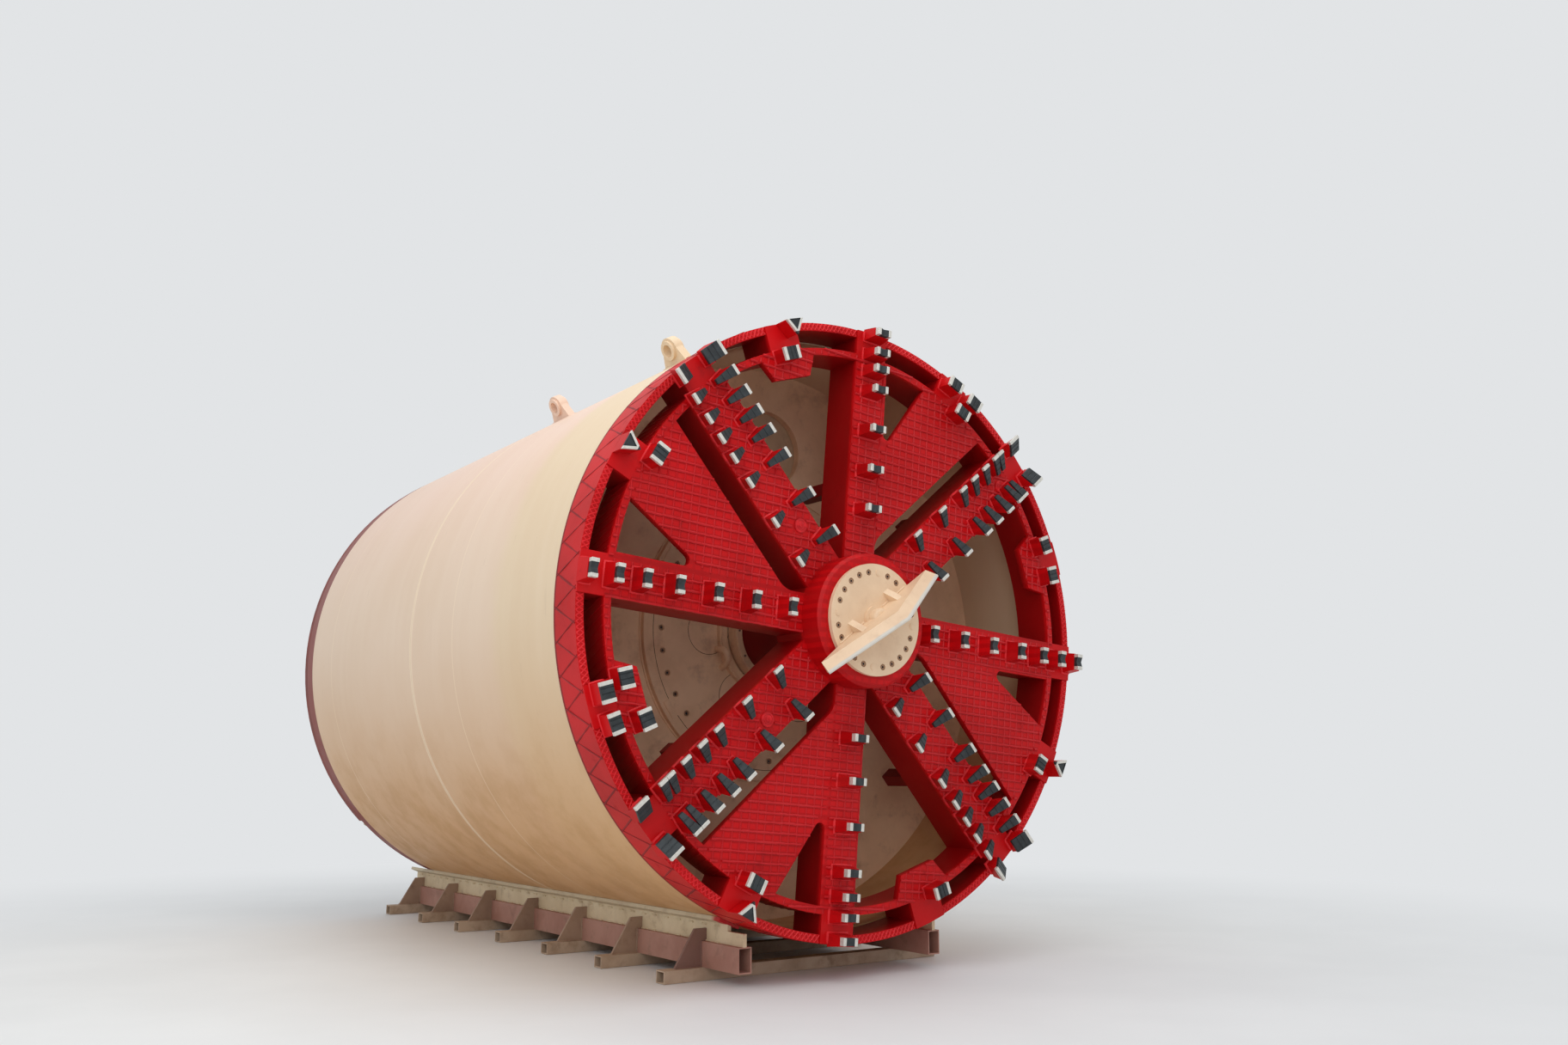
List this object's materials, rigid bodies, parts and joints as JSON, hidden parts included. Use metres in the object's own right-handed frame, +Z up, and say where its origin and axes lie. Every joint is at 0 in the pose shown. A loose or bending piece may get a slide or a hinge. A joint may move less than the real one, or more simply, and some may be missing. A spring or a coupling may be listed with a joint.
{
  "type": "pipe jacking machine",
  "caption": "Earth-pressure pipe jacking machine with a spoked cutterhead, two cylindrical shields and a screw conveyor, resting on its welded shipping cradle.",
  "frame": {"origin": "on the floor under the cradle, at the middle of the whole machine's length and width", "axes": "-Y is the way the cutterhead faces, +Y runs back to the tail, +Z is up, +X is to the right as seen from the front"},
  "size_m": [4.1912, 6.39, 4.4105],
  "materials": {
    "head_red": "semi-gloss paint over welded steel",
    "knife_beige": "satin paint, worn at the edges",
    "tool_black": "satin black",
    "carbide": "ground carbide",
    "shield_cream": "satin paint, dusty low down",
    "inside_cream": "satin paint",
    "drive_grey": "satin paint",
    "worn_steel": "bare rolled steel",
    "rod_chrome": "polished",
    "deck_grey": "matt paint",
    "cabinet_grey": "fine textured paint",
    "tail_maroon": "matt primer",
    "cradle_beige": "matt paint, dusty",
    "cradle_primer": "matt red-brown primer",
    "cradle_brown": "matt paint, dusty"
  },
  "bodies": {
    "root": {"rear_shell": "shield_cream", "tail_ring": "tail_maroon", "rear_ribs": "inside_cream", "deck": "deck_grey", "power_pack": "drive_grey", "control_cabinet": "cabinet_grey", "steering_barrels": "drive_grey", "barrel_brackets": "inside_cream", "cradle_seats": "cradle_beige", "cradle_webs": "cradle_beige", "cradle_beams": "cradle_primer", "cross_tubes": "cradle_brown", "cradle_gussets": "cradle_beige"},
    "front_shield": {"front_shell": "shield_cream", "front_spigot": "inside_cream", "front_ribs": "inside_cream", "bulkhead": "inside_cream", "drive_flange": "inside_cream", "main_drive": "drive_grey", "drive_motors": "drive_grey", "door_hinge": "inside_cream", "lifting_lugs": "shield_cream", "screw_tube": "inside_cream", "screw_drive": "drive_grey", "gate_rails": "inside_cream", "steering_clevises": "inside_cream"},
    "cutterhead": {"cutter_rim": "head_red", "inner_ring": "head_red", "plain_spokes": "head_red", "twin_spokes": "head_red", "wide_panels": "head_red", "ring_tabs": "head_red", "rim_blocks": "head_red", "hub": "head_red", "hub_cover": "knife_beige", "centre_knife": "knife_beige", "main_shaft": "head_red", "mixing_bars": "head_red", "ripper_posts": "head_red", "ripper_tips": "tool_black", "scraper_holders": "head_red", "scraper_blades": "tool_black", "carbide_edges": "carbide"},
    "screw": {"auger": "worn_steel"},
    "gate": {"discharge_gate": "inside_cream"},
    "door": {"man_door": "inside_cream"},
    "lower_rods": {"lower_rods": "rod_chrome"},
    "upper_rods": {"upper_rods": "rod_chrome"}
  },
  "joints": [
    {"name": "steering", "type": "hinge", "parent": "root", "child": "front_shield", "pos_m": [0, 0.125, 4.39], "axis": [-1, 0, 0], "range_deg": [0, 1.5]},
    {"name": "lower_cylinders", "type": "slide", "parent": "root", "child": "lower_rods", "axis": [0, -1, 0], "range_m": [0, 0.08]},
    {"name": "upper_cylinders", "type": "slide", "parent": "root", "child": "upper_rods", "axis": [0, -1, 0], "range_m": [0, 0.03]},
    {"name": "cutterhead_turn", "type": "hinge", "parent": "front_shield", "child": "cutterhead", "pos_m": [0, -2.655, 2.31], "axis": [0, -1, 0], "continuous": true},
    {"name": "screw_turn", "type": "hinge", "parent": "front_shield", "child": "screw", "pos_m": [0, -1.595, 0.86], "axis": [0, 0.9744, 0.225], "continuous": true},
    {"name": "gate_slide", "type": "slide", "parent": "front_shield", "child": "gate", "axis": [0, -0.9744, -0.225], "range_m": [0, 0.38]},
    {"name": "door_swing", "type": "hinge", "parent": "front_shield", "child": "door", "pos_m": [-0.372, -1.508, 3.73], "axis": [0, 0, 1], "range_deg": [0, 100]}
  ],
  "couplings": [
    {"joint": "lower_cylinders", "follows": "steering", "m_per_rad": 3.03},
    {"joint": "upper_cylinders", "follows": "steering", "m_per_rad": 1.13}
  ]
}
